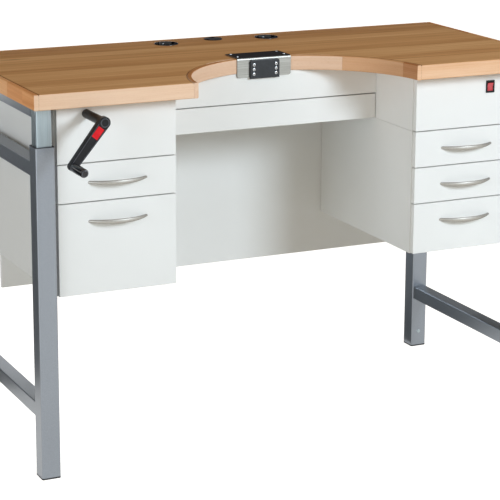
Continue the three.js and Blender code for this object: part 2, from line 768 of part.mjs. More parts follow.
// Lift pump behind the left panel, with a bore for the crank's shaft.
function pump() {
  const from = faceY + BOARD + FIT;
  const upTo = crankZ + PUMP_ABOVE;
  const low = upTo - PUMP_H;
  const body = rectangle(-PUMP_W / 2, low, PUMP_W / 2, upTo, PUMP_R);
  const cylinder = circle(PUMP_CYLINDER_D / 2, 0, from + PUMP_D / 2);
  const bore = circle(CRANK_SHAFT_D / 2 + FIT, 0, crankZ);
  const boreEnd = faceY + CRANK_SHAFT_IN + PUMP_BORE_END;
  return solid(prism(body, "y", from, from + PUMP_D, CORNER_STEPS))
    .add(solid(prism(cylinder, "z", low - PUMP_CYLINDER_H, low + JOIN, ROUND_STEPS)))
    .subtract(solid(prism(bore, "y", from - OVER, boreEnd, ROUND_STEPS)));
}

// Switch housing with a rim on the panel's face and a pocket for the rocker, drawn about its middle.
function switchHousing() {
  const w = SWITCH_W / 2;
  const h = SWITCH_H / 2;
  const inset = SWITCH_RIM / 2;
  const wall = inset + SWITCH_WALL;
  const rim = block(-w, w, -SWITCH_PROUD - FIT, -FIT, -h, h);
  const body = block(-w + inset, w - inset, -JOIN, SWITCH_BODY_D, -h + inset, h - inset);
  const pocket = block(
    -w + wall, w - wall, -SWITCH_PROUD - OVER, SWITCH_BODY_D - SWITCH_BACK, -h + wall, h - wall,
  );
  return solid(rim).add(solid(body)).subtract(solid(pocket));
}

// Rocker: two flats that meet in a shallow vee, drawn about its pivot.
function rocker() {
  const w = SWITCH_W / 2 - SWITCH_RIM / 2 - SWITCH_WALL - FIT;
  const h = SWITCH_H / 2 - SWITCH_RIM / 2 - SWITCH_WALL - ROCKER_PLAY;
  const heel = ROCKER_REAR - ROCKER_VEE;
  const shape = polygon(
    [-ROCKER_FRONT, h],
    [ROCKER_VEE - ROCKER_FRONT, 0],
    [-ROCKER_FRONT, -h],
    [heel, heel - h],
    [ROCKER_REAR, 0],
    [heel, h - heel],
  );
  return prism(shape, "x", -w, w);
}

const top = new THREE.Group();
bench.add(standingFrame(), top);
top.add(slidingFrame());

piece(top, "worktop", worktop(), PAINT.beech);
const lipping = endLipping();
piece(top, "lipping_right", lipping, PAINT.lipping);
piece(top, "lipping_left", lipping, PAINT.lipping).rotation.z = Math.PI;
const ring = cutoutRing();
piece(top, "lipping_cutout_left", cutoutLipping(ring, -1), PAINT.lipping, [0, cutY, 0]);
piece(top, "lipping_cutout_right", cutoutLipping(ring, 1), PAINT.lipping, [0, cutY, 0]);
for (const [side, x, y, d] of INSERTS)
  piece(top, `round_insert_${side}`, dishedInsert(d), PAINT.gloss, [x, y, 0]);
piece(top, "cable_grommet", grommet(), PAINT.black, [...GROMMET, 0]);
piece(top, "pin_bracket", pinBracket(), PAINT.steel);
piece(top, "pin_dovetail_plate", dovetailPlate(), PAINT.black);

for (const [side, sign] of SIDES) {
  top.add(upperCabinet(side, sign));
  const heights = STACKS[side];
  piece(top, `pedestal_${side}`, pedestal(heights), PAINT.melamine, [sign * cabinetMid, 0, 0]);
  let z = upperUnder;
  heights.forEach((height, index) => {
    z -= height;
    const boxLow = boxFloor(z);
    const size = {
      frontW,
      frontH: height,
      boxW: CABINET_W - 2 * BOARD - 2 * RUNNER_W,
      boxH: z + height - BOX_SHORT - boxLow + BOX_RAISE,
      boxD: BOX_D,
      boxLow,
      handle: true,
    };
    const at = { x: sign * cabinetMid, y: faceY, z };
    top.add(drawer(`${side}_drawer_${index + 1}`, at, size));
  });
}

const apronLow = upperUnder + CENTRE_H + FRONT_GAP / 2;
const apronHalf = kneeHalf - FIT;
piece(
  top,
  "centre_apron",
  block(-apronHalf, apronHalf, centreFace, centreFace + BOARD, apronLow, topUnder - FIT),
  PAINT.melamine,
);
top.add(
  drawer("centre_drawer", { x: 0, y: centreFace, z: upperUnder }, {
    frontW: 2 * kneeHalf - FRONT_GAP,
    frontH: CENTRE_H,
    boxW: 2 * kneeHalf - 2 * RUNNER_W,
    boxH: CENTRE_H - BOX_SHORT + BOX_RAISE,
    boxD: centreBoxD,
    boxLow: centreBoxLow(),
  }),
);
const backY = carcassBack + FIT;
piece(
  top,
  "back_panel",
  block(-backHalf, backHalf, backY, backY + BACK_T, BACK_BOTTOM, topUnder - FIT),
  PAINT.melamine,
);

const switchX = cabinetOut - FRONT_IN - SWITCH_IN;
const switchZ = topUnder - SWITCH_DROP;
piece(top, "switch_housing", switchHousing(), PAINT.black, [switchX, faceY, switchZ]);
const rockerAt = [switchX, faceY + ROCKER_PIVOT_IN, switchZ];
const rockerMesh = piece(top, "switch_rocker", rocker(), PAINT.red, rockerAt);
rockerMesh.rotation.x = (ROCKER_TILT_DEG * Math.PI) / 180;

piece(top, "lift_pump", pump(), PAINT.cast, [crankX, 0, 0]);
piece(top, "crank", crank(), PAINT.black, [crankX, 0, crankZ]);
const restTurn = (CRANK_REST_DEG * Math.PI) / 180;
piece(top, "crank_grip", grip(), PAINT.black, [
  crankX + CRANK_ARM * Math.cos(restTurn),
  armFront - FIT,
  crankZ + CRANK_ARM * Math.sin(restTurn),
]);

export default bench;
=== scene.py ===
# Looks of a jeweller's bench: oiled beech, white melamine, silver-grey tube and black fittings.
# Metres, +Z up, front towards -Y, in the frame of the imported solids.
import json
import math

import bmesh
import bpy
from mathutils import Matrix, Vector


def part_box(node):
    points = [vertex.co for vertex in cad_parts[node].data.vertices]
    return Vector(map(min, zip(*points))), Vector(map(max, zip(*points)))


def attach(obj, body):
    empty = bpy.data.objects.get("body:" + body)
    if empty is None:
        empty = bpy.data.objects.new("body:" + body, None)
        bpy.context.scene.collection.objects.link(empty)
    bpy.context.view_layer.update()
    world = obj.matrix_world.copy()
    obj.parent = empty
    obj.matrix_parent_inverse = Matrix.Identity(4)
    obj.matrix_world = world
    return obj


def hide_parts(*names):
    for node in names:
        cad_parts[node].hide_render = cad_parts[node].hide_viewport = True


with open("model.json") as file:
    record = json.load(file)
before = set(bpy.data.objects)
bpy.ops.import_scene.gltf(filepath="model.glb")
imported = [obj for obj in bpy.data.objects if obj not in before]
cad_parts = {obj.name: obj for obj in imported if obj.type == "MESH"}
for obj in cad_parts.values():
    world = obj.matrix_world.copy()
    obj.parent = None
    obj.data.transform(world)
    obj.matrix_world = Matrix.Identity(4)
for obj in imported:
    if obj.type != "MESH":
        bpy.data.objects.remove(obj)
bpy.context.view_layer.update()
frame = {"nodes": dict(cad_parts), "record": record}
NODES = frame["nodes"]
BODIES = frame["record"]["behaviour"]["bodies"]
BODY_OF = {node: body for body, names in BODIES.items() for node in names}
SLOT_OF = {row["node"]: row["material_slot"] for row in frame["record"]["subparts"]}

MM = 0.001
FRONT = Vector((0, -1, 0))
BACK = Vector((0, 1, 0))
UP = Vector((0, 0, 1))
WHITE = "#ffffff"

# Sockets of a Mix node that mixes colours
MIX_A = 6
MIX_B = 7
MIXED = 2

# Meshing
MERGE = 0.02 * MM
FLAT_ANGLE = math.radians(0.5)
SMOOTH_ANGLE = math.radians(32)
SHARP_ANGLE = math.radians(40)
FACING = 0.7  # least cosine of a face that counts as facing a direction
SPIN_STEPS = 64
SMALL_STEPS = 24
EASE_STEPS = 2

# Eased edges of the pieces, by record slot
EASE = {
    "white_board": 0.8 * MM,
    "drawer_board": 0.5 * MM,
    "red_plastic": 0.5 * MM,
    "black_aluminium": 0.3 * MM,
}

# Worktop: the cut-out's circle, and the pieces of wood that board and lippings are glued up from
CUT_AHEAD = 25 * MM
CUT_RADIUS = 317 * MM
CUT_CENTRE_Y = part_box("worktop")[0][1] - CUT_AHEAD
CUT_MOUTH_X = 0.9 * CUT_RADIUS  # past this, a curved lipping faces the front only with its end
BOARD_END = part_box("worktop")[1][0]
LIPPING_W = 12 * MM
LIPPING_RADIUS = CUT_RADIUS + LIPPING_W
TOP_STAVE = 62 * MM
LIPPING_PIECE = 118 * MM
RING_PIECE = 275 * MM
LONG = 10.0  # longer than any board

# Beech: sizes of its figure along the grain and across it, shares of its tone, flecks and gloss
STREAK = (420 * MM, 13 * MM, 13 * MM)
GRAIN = (150 * MM, 2.6 * MM, 2.6 * MM)
FLECK = (6 * MM, 1.2 * MM, 1.2 * MM)
GRAIN_SHARE = 0.26
PIECE_SHARE = 0.32  # difference between glued pieces
STAVE_SHARE = 0.22  # difference between the board's staves
BEECH_STOPS = (0.3, 0.5, 0.7)
FLECK_STOPS = ((0.3, "#a8835c"), (0.42, WHITE))
FACE_FLECKS = 0.15
EDGE_FLECKS = 0.1
BEECH_GLOSS = 0.05
BEECH_ROUGH = (0.42, 0.58)
BEECH_RELIEF = 0.12 * MM

# Dark places on the board: a knot, and a glue line that fades out as painted shade of the joint's groove
KNOT_PLACE = (-0.627, 0.253)
KNOT_SIZE = (60 * MM, 7 * MM)
KNOT_DARK = 0.75
KNOT_SHADE = "#7c4a26"
GLUE_AND_GROOVE_W = 4 * MM
GLUE_AND_GROOVE_DARK = 0.75
GLUE_AND_GROOVE_SHADE = "#5e3a1f"

# All finishes: places of two shades in a cloudy pattern, its fineness and its relief
SHADE_STOPS = (0.3, 0.7)
CLOUD_DETAIL = 3.0
RELIEF_STRENGTH = 0.3

# Round inserts
INSERT_SLEEVE_IN = 4.3 * MM
INSERT_SEAT = 0.3 * MM
INSERT_WALL = 3 * MM
INSERT_LEDGE = 2 * MM
INSERT_DISH = 6 * MM
RIM_STEPS = 4

# Holder for the bench pin
PLATE_SCREW_X = 33 * MM
PLATE_SCREW_PITCH = 12.7 * MM
PLATE_SCREW_R = 4 * MM
PLATE_SCREW_H = 1.3 * MM
BRACKET_SCREW_IN = 11 * MM
BRACKET_SCREW_FRONT_IN = 22 * MM
BRACKET_SCREW_R = 3.4 * MM
BRACKET_SCREW_H = 1.2 * MM
SOCKET_SIDES = 6
SOCKET_SHARE = 0.45  # socket's size to the head's
SOCKET_DEPTH = 0.7  # of the head's height

# Bow handles
HANDLE_STEPS = 48
HANDLE_SECTION = 20
HANDLE_T = 6.5 * MM
HANDLE_END = 0.5  # height of the bar at its ends to that at its middle
HANDLE_OVERRUN = 0.08  # radians of bar that the front's plane trims off

# Crank
ARM_LENGTH = 132 * MM
ARM_HEAD_R = 15 * MM
ARM_END_R = 11 * MM
ARM_TURN = math.radians(-128.8)
ARM_GAP = 0.3 * MM  # grip to arm
HEAD_RING_R = 11.5 * MM
HEAD_RING_W = 2.6 * MM
LABEL_FROM = 15 * MM
LABEL_TO = 45.5 * MM
LABEL_W = 17.5 * MM
LABEL_T = 0.3 * MM
LABEL_EDGE = 0.1 * MM
RIDGE_W = 1.8 * MM
RIDGE_T = 0.9 * MM
RIDGE_IN = 3.2 * MM
RIDGE_EDGE = 0.3 * MM
RIDGE_SHIFT = 4 * MM  # ridges nearer to the grip than to the head
GRIP_RING_R = 8 * MM
GRIP_RING_W = 2 * MM
RING_H = 1 * MM
CHAMFER = 0.4 * MM

# Legs
COLLAR_T = 1.5 * MM
COLLAR_GAP = 0.25 * MM
COLLAR_CORNER = 4 * MM
PLUG_R = 5.5 * MM
PLUG_H = 1.2 * MM
PLUG_UP = 43 * MM

# Cover caps over the screws of the back panel
CAP_R = 6.5 * MM
CAP_H = 1.4 * MM
CAP_IN = 40 * MM
CAP_LOW = 160 * MM

# Low domes of plugs and caps, as shares of their height and radius
DOME_WALL = 0.4
DOME_SHOULDER_H = 0.8
DOME_SHOULDER_R = 0.85

# Camera at the photograph's view
CAMERA_PLACE = (-2.25247, -4.67328, 1.86789)
CAMERA_YAW = math.radians(-25.27)
CAMERA_PITCH = math.radians(13.552)
CAMERA_ROLL = math.radians(0.255)
CAMERA_LENS = 140.208
CAMERA_SHIFT_Y = -0.1

# Studio: softboxes right of the camera, far left and behind, each with its place, size and power
AIM = (0, 0, 0.75)
KEY = ("key_softbox", (1.42, -3.5, 2.3), (1.2, 1.2), 111)
FILL = ("fill_softbox", (-4.3, -2.0, 1.3), (2.6, 2.6), 78)
BACK_LIGHT = ("back_softbox", (-0.5, 3.6, 0.5), (0.95, 0.95), 50)
LAMP_SHADE = "#e4f2ff"
SURROUND_SHADE = "#938a7c"
FLOOR_SHADE = "#d6d0c6"
FLOOR_ROUGH = 0.9
FLOOR_HALF = 30
FLOOR_GLOW = 0.9

# Dark flags behind, under and right of the bench, each with its middle, size and facing
FLAG_SHADE = "#303238"
FLAGS = (
    ((-1.59, 0.5, 0.43), (1.62, 0.86), FRONT),
    ((0.23, 0.5, 0.25), (0.86, 0.5), FRONT),
    ((0.3, 0.5, 1.265), (3.0, 0.47), FRONT),
    # This flag under the bench is painted shade: it stands for the shadowed floor there, seen in the
    # handles
    ((0.15, -0.05, 0.28), (1.4, 0.34), UP),
    ((0.48, 0.58, 0.002), (0.38, 0.44), UP),
    ((1.25, 0.95, 0.5), (0.8, 1.1), UP),
)


def linear(code):
    """An sRGB hex colour as linear RGBA."""
    parts = [int(code[i:i + 2], 16) / 255 for i in (1, 3, 5)]
    return tuple(c / 12.92 if c <= 0.04045 else ((c + 0.055) / 1.055) ** 2.4 for c in parts) + (1,)


def add(tree, kind, inputs=None, stops=(), **settings):
    """One node with its settings and links: an input is a value or another node's output, and a colour
    ramp takes its stops, each a place and an sRGB hex colour."""
    node = tree.nodes.new(kind)
    for name, value in settings.items():
        setattr(node, name, value)
    for key, value in (inputs or {}).items():
        if isinstance(value, bpy.types.NodeSocket):
            tree.links.new(value, node.inputs[key])
        else:
            node.inputs[key].default_value = value
    for _ in stops[2:]:
        node.color_ramp.elements.new(1.0)
    for index, (place, code) in enumerate(stops):
        node.color_ramp.elements[index].position = place
        node.color_ramp.elements[index].color = linear(code)
    return node


def material(name, **sockets):
    """A material with one Principled shader, and its tree and shader."""
    made = bpy.data.materials.new(name)
    made.use_nodes = True
    tree = made.node_tree
    shader = tree.nodes["Principled BSDF"]
    for key, value in sockets.items():
        shader.inputs[key.replace("_", " ")].default_value = value
    return made, tree, shader


def patterns(tree, place, *sizes):
    """One cloudy pattern for each size, given in metres along the three axes of a place."""
    levels = []
    for size in sizes:
        scale = tuple(1 / s for s in size)
        spread = add(tree, "ShaderNodeMapping", {"Vector": place, "Scale": scale})
        inputs = {"Vector": spread.outputs["Vector"], "Scale": 1.0, "Detail": CLOUD_DETAIL}
        levels.append(add(tree, "ShaderNodeTexNoise", inputs).outputs["Fac"])
    return levels


def finish_with(tree, shader, colour, texture, rough, relief):
    """Colour on the shader, and a texture that sets its roughness between two values and its relief."""
    tree.links.new(colour, shader.inputs["Base Color"])
    least, most = rough
    gloss = add(tree, "ShaderNodeMapRange", {"Value": texture, "To Min": least, "To Max": most})
    tree.links.new(gloss.outputs["Result"], shader.inputs["Roughness"])
    inputs = {"Height": texture, "Distance": relief, "Strength": RELIEF_STRENGTH}
    raised = add(tree, "ShaderNodeBump", inputs)
    tree.links.new(raised.outputs["Normal"], shader.inputs["Normal"])


def surface(name, shades, drift, grit, rough, relief, **sockets):
    """A material whose colour drifts between two shades, with a finer texture of its own size."""
    made, tree, shader = material(name, **sockets)
    place = add(tree, "ShaderNodeTexCoord").outputs["Object"]
    cloud, texture = patterns(tree, place, drift, grit)
    stops = list(zip(SHADE_STOPS, shades))
    tint = add(tree, "ShaderNodeValToRGB", {"Fac": cloud}, stops=stops)
    finish_with(tree, shader, tint.outputs["Color"], texture, rough, relief)
    return made


def from_cut(tree, x, y):
    """How far back from the centre of the cut-out a place lies, and its distance from it."""
    behind = add(tree, "ShaderNodeMath", {0: y, 1: CUT_CENTRE_Y}, operation="SUBTRACT").outputs[0]
    spoke = add(tree, "ShaderNodeCombineXYZ", {"X": x, "Y": behind}).outputs[0]
    out = add(tree, "ShaderNodeVectorMath", {0: spoke}, operation="LENGTH").outputs["Value"]
    return behind, out


def grain_axes(tree, run):
    """Places along and across the grain and up, in metres: along x, along y or round the cut-out."""
    coords = add(tree, "ShaderNodeTexCoord")
    x, y, z = add(tree, "ShaderNodeSeparateXYZ", {0: coords.outputs["Object"]}).outputs
    if run == "x":
        return x, y, z
    if run == "y":
        return y, x, z
    behind, out = from_cut(tree, x, y)
    turn = add(tree, "ShaderNodeMath", {0: x, 1: behind}, operation="ARCTAN2").outputs[0]
    arc = add(tree, "ShaderNodeMath", {0: turn, 1: CUT_RADIUS}, operation="MULTIPLY").outputs[0]
    return arc, out, z


def knot(tree, colour):
    """A small dark streak round a knot on the upper face."""
    coords = add(tree, "ShaderNodeTexCoord")
    shift = tuple(-k / s for k, s in zip(KNOT_PLACE, KNOT_SIZE)) + (0,)
    scale = tuple(1 / s for s in KNOT_SIZE) + (0,)
    inputs = {"Vector": coords.outputs["Object"], "Scale": scale, "Location": shift}
    spot = add(tree, "ShaderNodeMapping", inputs)
    away = add(tree, "ShaderNodeVectorMath", {0: spot.outputs["Vector"]}, operation="LENGTH")
    inputs = {"Value": away.outputs["Value"], "To Min": KNOT_DARK, "To Max": 0.0}
    dark = add(tree, "ShaderNodeMapRange", inputs)
    inputs = {"Factor": dark.outputs["Result"], MIX_A: colour, MIX_B: linear(KNOT_SHADE)}
    return add(tree, "ShaderNodeMix", inputs, data_type="RGBA").outputs[MIXED]


def glue_line_and_groove_shade(tree, colour):
    """A dark glue line on the board where its lippings are glued on, fading over a few millimetres as
    painted shade of the joint's groove.
    """
    coords = add(tree, "ShaderNodeTexCoord")
    x, y, _ = add(tree, "ShaderNodeSeparateXYZ", {0: coords.outputs["Object"]}).outputs
    aside = add(tree, "ShaderNodeMath", {0: x}, operation="ABSOLUTE").outputs[0]
    _, out = from_cut(tree, x, y)
    dark = 0.0
    for place, start, joint in (
        (aside, BOARD_END - GLUE_AND_GROOVE_W, BOARD_END),
        (out, LIPPING_RADIUS + GLUE_AND_GROOVE_W, LIPPING_RADIUS),
    ):
        inputs = {"Value": place, "From Min": start, "From Max": joint, "To Max": GLUE_AND_GROOVE_DARK}
        near = add(tree, "ShaderNodeMapRange", inputs).outputs["Result"]
        dark = add(tree, "ShaderNodeMath", {0: near, 1: dark}, operation="MAXIMUM").outputs[0]
    inputs = {"Factor": dark, MIX_A: colour, MIX_B: linear(GLUE_AND_GROOVE_SHADE)}
    return add(tree, "ShaderNodeMix", inputs, data_type="RGBA").outputs[MIXED]


# Oiled beech, planed and sanded: pieces of slightly different browns, fine straight grain and the short
# darker flecks of beech, which are drawn twice as coarse as real ones so that they show.
def beech(
    name, run, shades, strip=LONG, piece=LONG, flecked=FACE_FLECKS, varied=PIECE_SHARE, board=False,
):
    made, tree, shader = material(name, Specular_IOR_Level=BEECH_GLOSS)
    along, across, up = grain_axes(tree, run)
    cell = {}
    for axis, place, size in (("X", along, piece), ("Y", across, strip)):
        count = add(tree, "ShaderNodeMath", {0: place, 1: size}, operation="DIVIDE")
        cell[axis] = add(tree, "ShaderNodeMath", {0: count.outputs[0]}, operation="ROUND").outputs[0]
    spot = add(tree, "ShaderNodeCombineXYZ", cell)
    log = add(tree, "ShaderNodeTexWhiteNoise", {"Vector": spot.outputs[0]}, noise_dimensions="2D")
    here = add(tree, "ShaderNodeCombineXYZ", {"X": along, "Y": across, "Z": up})
    inputs = {0: here.outputs[0], 1: log.outputs["Color"]}
    place = add(tree, "ShaderNodeVectorMath", inputs, operation="ADD").outputs[0]
    streak, grain, fleck = patterns(tree, place, STREAK, GRAIN, FLECK)
    shares = (
        (log.outputs["Value"], varied),
        (streak, 1 - GRAIN_SHARE - varied),
        (grain, GRAIN_SHARE),
    )
    tone = 0.0
    for level, share in shares:
        inputs = {0: level, 1: share, 2: tone}
        tone = add(tree, "ShaderNodeMath", inputs, operation="MULTIPLY_ADD").outputs[0]
    stops = list(zip(BEECH_STOPS, shades))
    wood = add(tree, "ShaderNodeValToRGB", {"Fac": tone}, stops=stops)
    dots = add(tree, "ShaderNodeValToRGB", {"Fac": fleck}, stops=FLECK_STOPS)
    inputs = {"Factor": flecked, MIX_A: wood.outputs["Color"], MIX_B: dots.outputs["Color"]}
    mixed = add(tree, "ShaderNodeMix", inputs, data_type="RGBA", blend_type="MULTIPLY")
    colour = mixed.outputs[MIXED]
    if board:
        # The board's glue lines carry painted shade of the joint's groove
        colour = glue_line_and_groove_shade(tree, knot(tree, colour))
    finish_with(tree, shader, colour, grain, BEECH_ROUGH, BEECH_RELIEF)
    return made


def even(size):
    return (size, size, size)


# Sizes of the patterns: brush lines, metal flake, mould grit, cast grain and the mottling of zinc are
# drawn coarser than real ones so that they show
UPRIGHT_LINE = (1.4 * MM, 1.4 * MM, 170 * MM)
CROSS_LINE = (125 * MM, 1.1 * MM, 1.1 * MM)
CLOUD = even(300 * MM)
PRESS_GRAIN = even(1.2 * MM)
METAL_FLAKE = even(0.9 * MM)
PEBBLE = even(2 * MM)
CAST_GRAIN = even(4.5 * MM)
ZINC_SPANGLE = even(2 * MM)
MOULD_CLOUD = even(16 * MM)
MOULD_GRIT = even(0.9 * MM)

FINISH = {
    # Oiled beech board: orange-brown staves with a satin oil that lets the grain show
    "beech_top": beech(
        "oiled_beech_board", "x", ("#bf8753", "#daa46d", "#edbd86"),
        strip=TOP_STAVE, varied=STAVE_SHARE, board=True,
    ),
    # Oiled beech lipping: short glued pieces of a warmer brown
    "beech_lipping": beech(
        "oiled_beech_lipping", "y", ("#cc8449", "#e3a067", "#f0b984"), piece=LIPPING_PIECE,
    ),
    # White melamine on chipboard: bright and satin, with a faintly pebbled press texture
    "white_board": surface(
        "white_melamine", ("#ecebe7", "#f1f0ec"), CLOUD, PRESS_GRAIN,
        rough=(0.34, 0.44), relief=0.03 * MM, Specular_IOR_Level=0.25,
    ),
    # Grey melamine of the drawer boxes: duller than the fronts
    "drawer_board": surface(
        "grey_drawer_board", ("#c6c9cc", "#d0d3d5"), CLOUD, PRESS_GRAIN,
        rough=(0.4, 0.5), relief=0.03 * MM, Specular_IOR_Level=0.25,
    ),
    # Silver-grey powder coat on steel tube: pebbled, with flake that darkens away from the light
    "frame_paint": surface(
        "silver_grey_powder_coat", ("#81868c", "#91969d"), METAL_FLAKE, PEBBLE,
        rough=(0.3, 0.4), relief=0.05 * MM, Metallic=0.68,
    ),
    # Satin anodised extrusion: fine lines down the tube that stretch the highlights
    "tube_aluminium": surface(
        "anodised_tube", ("#919ca0", "#a2adb0"), UPRIGHT_LINE, UPRIGHT_LINE,
        rough=(0.34, 0.44), relief=0.01 * MM, Metallic=0.95,
    ),
    # Satin nickel: grey with a warm cast, brushed along the bar
    "handle_nickel": surface(
        "satin_nickel", ("#928f89", "#a8a59e"), CROSS_LINE, CROSS_LINE,
        rough=(0.44, 0.54), relief=0.02 * MM, Metallic=1.0,
    ),
    # Brushed stainless steel: streaks across the bracket
    "bracket_steel": surface(
        "brushed_steel", ("#84847f", "#9d9d98"), CROSS_LINE, CROSS_LINE,
        rough=(0.3, 0.44), relief=0.02 * MM, Metallic=1.0,
    ),
    # Black anodised plate: charcoal with a soft sheen
    "black_aluminium": surface(
        "black_anodised_plate", ("#1b1e21", "#24272b"), MOULD_CLOUD, MOULD_GRIT,
        rough=(0.38, 0.48), relief=0.04 * MM, Specular_IOR_Level=0.35,
    ),
    # Glossy ABS: black, with sharp highlights on the rim
    "gloss_black": surface(
        "gloss_black_abs", ("#060607", "#0b0b0d"), MOULD_CLOUD, MOULD_GRIT,
        rough=(0.08, 0.14), relief=0.01 * MM, Specular_IOR_Level=0.4,
    ),
    # Satin nylon: near black with the light grain of a spark-eroded mould
    "matte_black": surface(
        "satin_black_nylon", ("#0a0b0e", "#121317"), MOULD_CLOUD, MOULD_GRIT,
        rough=(0.3, 0.42), relief=0.04 * MM, Specular_IOR_Level=0.25,
    ),
    # Matt polyethylene cap: dull black
    "foot_plastic": surface(
        "matt_black_cap", ("#141516", "#1d1e20"), MOULD_CLOUD, MOULD_GRIT,
        rough=(0.56, 0.66), relief=0.04 * MM,
    ),
    # Red polycarbonate: glossy and slightly see-through looking, by a clear coat
    "red_plastic": surface(
        "red_polycarbonate", ("#b3202c", "#c62c39"), MOULD_CLOUD, MOULD_GRIT,
        rough=(0.16, 0.26), relief=0.02 * MM, Coat_Weight=0.4,
    ),
    # Cast aluminium: mottled grey and rough from the mould
    "pump_metal": surface(
        "cast_aluminium", ("#6a6e73", "#7d8186"), CAST_GRAIN, CAST_GRAIN,
        rough=(0.44, 0.58), relief=0.1 * MM, Metallic=1.0,
    ),
}
# Planed beech edge: paler than the oiled upper face, partly as painted light, since the lamps fall on
# the front and back edges more than on the top
LIT_LEFT_EDGE_BEECH = beech(
    "lit_planed_beech_edge", "x", ("#d8a880", "#e6bd9a", "#efccae"), flecked=EDGE_FLECKS,
)
# Planed beech edge right of the cut-out: a more orange board, paler than the top partly as painted
# light, like the left edge
LIT_RIGHT_EDGE_BEECH = beech(
    "lit_planed_orange_beech_edge", "x", ("#cb9060", "#dfab80", "#ecc29e"), flecked=EDGE_FLECKS,
)
# Bent beech strip left of the joint in the cut-out: pale and pinkish
LEFT_RING_BEECH = beech("bent_beech_lipping", "ring", ("#d2a07c", "#e1b897", "#eac7ab"))
# Bent beech strips right of the joint: browner pieces
RIGHT_RING_BEECH = beech(
    "bent_beech_brown_lipping", "ring", ("#be845a", "#cf996e", "#dcac84"), piece=RING_PIECE,
)
# Upper face of the bent strips: oiled like the board, and darker than their planed side partly as
# painted shade where the light only grazes it
SHADED_TOP_RING_BEECH = beech(
    "oiled_shaded_bent_beech", "ring", ("#a8683a", "#c08350", "#d29c6a"), piece=RING_PIECE,
)
# Black lacquer on steel: dull, so that it stays black under the lamps
BLACK_STEEL = surface(
    "black_lacquered_steel", ("#141212", "#1d1a1a"), MOULD_CLOUD, MOULD_GRIT,
    rough=(0.5, 0.6), relief=0.04 * MM, Specular_IOR_Level=0.15,
)
# Black nylon painted grey on the raised ring and edges: a painted highlight that makes them show
HIGHLIT_BLACK = surface(
    "black_nylon_painted_highlight", ("#2b2d33", "#3d4047"), MOULD_CLOUD, MOULD_GRIT,
    rough=(0.3, 0.42), relief=0.02 * MM,
)
# Polished black nylon: sharper highlights than the arm
GRIP_BLACK = surface(
    "polished_black_nylon", ("#0a0a0c", "#121215"), MOULD_CLOUD, MOULD_GRIT,
    rough=(0.12, 0.2), relief=0.02 * MM,
)
# Zinc plating: bright grey, slightly mottled
SCREW_STEEL = surface(
    "zinc_plated_screw", ("#c9ccce", "#e4e6e7"), ZINC_SPANGLE, ZINC_SPANGLE,
    rough=(0.24, 0.38), relief=0.02 * MM, Metallic=1.0,
)
# Vinyl film: even red with a satin face
LABEL_RED = surface(
    "red_label_film", ("#d2131d", "#e4232c"), MOULD_CLOUD, MOULD_GRIT,
    rough=(0.3, 0.4), relief=0.01 * MM, Specular_IOR_Level=0.2,
)
# Polyethylene cover cap: white, a little duller than the board
CAP_WHITE = surface(
    "white_cover_cap", ("#e4e6e8", "#eceeef"), MOULD_CLOUD, MOULD_GRIT,
    rough=(0.36, 0.46), relief=0.03 * MM,
)


def finished(made, name, finish, body):
    """A bmesh as a piece with a finish, that rides on a body."""
    mesh = bpy.data.meshes.new(name)
    made.to_mesh(mesh)
    made.free()
    mesh.shade_smooth()
    mesh.set_sharp_from_angle(angle=SMOOTH_ANGLE)
    mesh.materials.append(finish)
    piece = bpy.data.objects.new(name, mesh)
    bpy.context.scene.collection.objects.link(piece)
    # Normals weighted by area keep flat faces flat beside their rounded edges
    weighted = piece.modifiers.new("flat_faces", "WEIGHTED_NORMAL")
    weighted.keep_sharp = True
    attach(piece, body)
    return piece


def gathered(forms):
    """Several forms in one mesh."""
    whole = bmesh.new()
    for form in forms:
        mesh = bpy.data.meshes.new("form")
        form.to_mesh(mesh)
        form.free()
        whole.from_mesh(mesh)
        bpy.data.meshes.remove(mesh)
    return whole


def rounded(made, edges, radius, **limits):
    """Rounds these edges of a bmesh."""
    bmesh.ops.bevel(
        made, geom=edges, offset=radius, offset_type="OFFSET", affect="EDGES", segments=EASE_STEPS,
        profile=0.5, material=-1, **limits,
    )


def is_sharp(edge):
    """Whether an edge is an outer corner of its solid."""
    return edge.is_manifold and edge.is_convex and edge.calc_face_angle() > SHARP_ANGLE


def stand_in(made, node):
    """A bmesh as the piece that stands for a node, with the finish of the node's slot."""
    slot = SLOT_OF[node]
    piece = finished(made, f"{node}_finish", FINISH[slot], BODY_OF[node])
    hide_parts(node)
    return piece


def eased(node):
    """A merged copy of a node with its sharp outer edges eased."""
    made = bmesh.new()
    made.from_mesh(NODES[node].data)
    bmesh.ops.remove_doubles(made, verts=made.verts, dist=MERGE)
    bmesh.ops.dissolve_limit(made, angle_limit=FLAT_ANGLE, verts=made.verts, edges=made.edges)
    slot = SLOT_OF[node]
    if slot in EASE:
        rounded(made, [e for e in made.edges if is_sharp(e)], EASE[slot], clamp_overlap=True)
    return stand_in(made, node)


def refinish(piece, finish, *directions, right_of=-LONG):
    """Another finish on the faces that face one of these directions, or on all faces."""
    if not directions:
        piece.data.materials[0] = finish
        return
    piece.data.materials.append(finish)
    for face in piece.data.polygons:
        if face.center.x > right_of and any(face.normal.dot(way) > FACING for way in directions):
            face.material_index = len(piece.data.materials) - 1


def aimed(place, out):
    """The turn and shift that put a form drawn about +Z on a place, facing out."""
    return Matrix.Translation(place) @ UP.rotation_difference(out).to_matrix().to_4x4()


